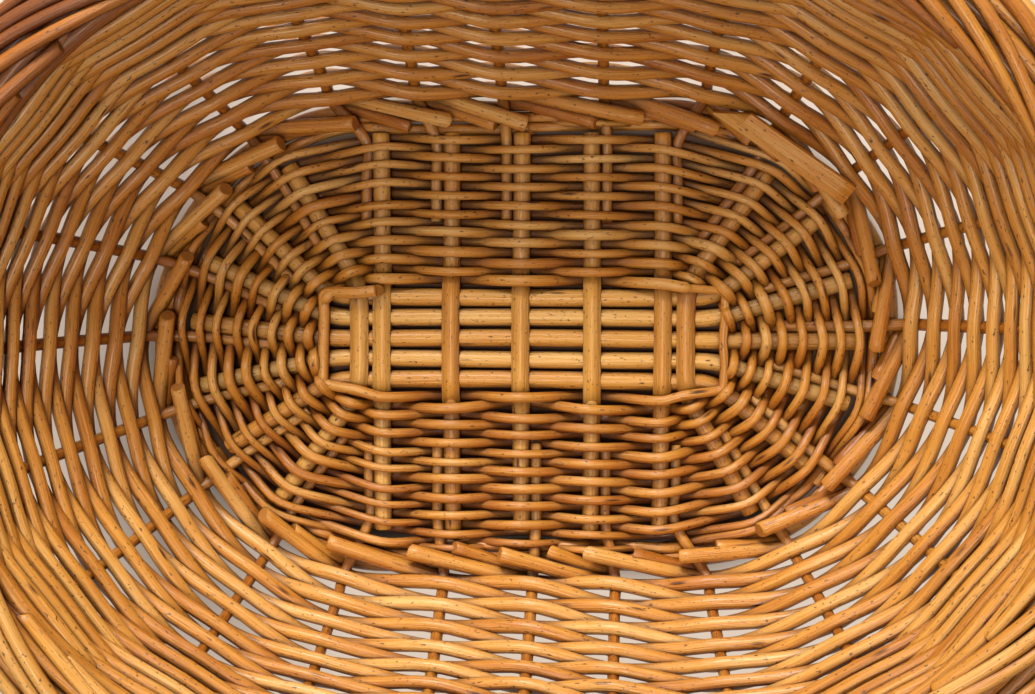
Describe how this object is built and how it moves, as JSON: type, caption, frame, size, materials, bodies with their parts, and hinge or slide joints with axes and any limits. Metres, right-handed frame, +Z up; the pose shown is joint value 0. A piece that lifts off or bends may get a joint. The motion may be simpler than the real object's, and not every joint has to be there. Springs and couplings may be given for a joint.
{
  "type": "bicycle basket",
  "caption": "Shallow oval bicycle basket of honey-brown willow on a pierced oval base, with a rolled border and buckled leather handlebar straps.",
  "frame": {"origin": "on the floor plane under the middle of the overall box, straps included", "axes": "+X along the oval's long way, +Y towards the handlebar straps, +Z up out of the basket"},
  "size_m": [0.456, 0.3676, 0.1238],
  "materials": {
    "willow": "satin varnish",
    "base_sticks": "satin varnish",
    "leather": "smooth",
    "buckle_steel": "satin"
  },
  "bodies": {
    "basket": {"long_stick_1": "base_sticks", "long_stick_2": "base_sticks", "long_stick_3": "base_sticks", "long_stick_4": "base_sticks", "long_stick_5": "base_sticks", "cross_stick_1": "base_sticks", "cross_stick_2": "base_sticks", "cross_stick_3": "base_sticks", "cross_stick_4": "base_sticks", "cross_stick_5": "base_sticks", "cross_stick_6": "base_sticks", "cross_stick_7": "base_sticks", "stake_01": "willow", "stake_02": "willow", "stake_03": "willow", "stake_04": "willow", "stake_05": "willow", "stake_06": "willow", "stake_07": "willow", "stake_08": "willow", "stake_09": "willow", "stake_10": "willow", "stake_11": "willow", "stake_12": "willow", "stake_13": "willow", "stake_14": "willow", "stake_15": "willow", "stake_16": "willow", "stake_17": "willow", "stake_18": "willow", "stake_19": "willow", "stake_20": "willow", "stake_21": "willow", "stake_22": "willow", "stake_23": "willow", "stake_24": "willow", "base_weave": "willow", "side_weave": "willow", "rim_border": "willow", "strap_left": "leather", "buckle_left": "buckle_steel", "keeper_left": "leather", "strap_right": "leather", "buckle_right": "buckle_steel", "keeper_right": "leather"},
    "prong_left": {"prong_left": "buckle_steel"},
    "prong_right": {"prong_right": "buckle_steel"}
  },
  "joints": [
    {"name": "prong_left_hinge", "type": "hinge", "parent": "basket", "child": "prong_left", "pos_m": [-0.06389, 0.17463, 0.08], "axis": [0.9992, 0.0396, 0], "range_deg": [0, 30]},
    {"name": "prong_right_hinge", "type": "hinge", "parent": "basket", "child": "prong_right", "pos_m": [0.06389, 0.17463, 0.08], "axis": [0.9992, -0.0396, 0], "range_deg": [0, 30]}
  ]
}
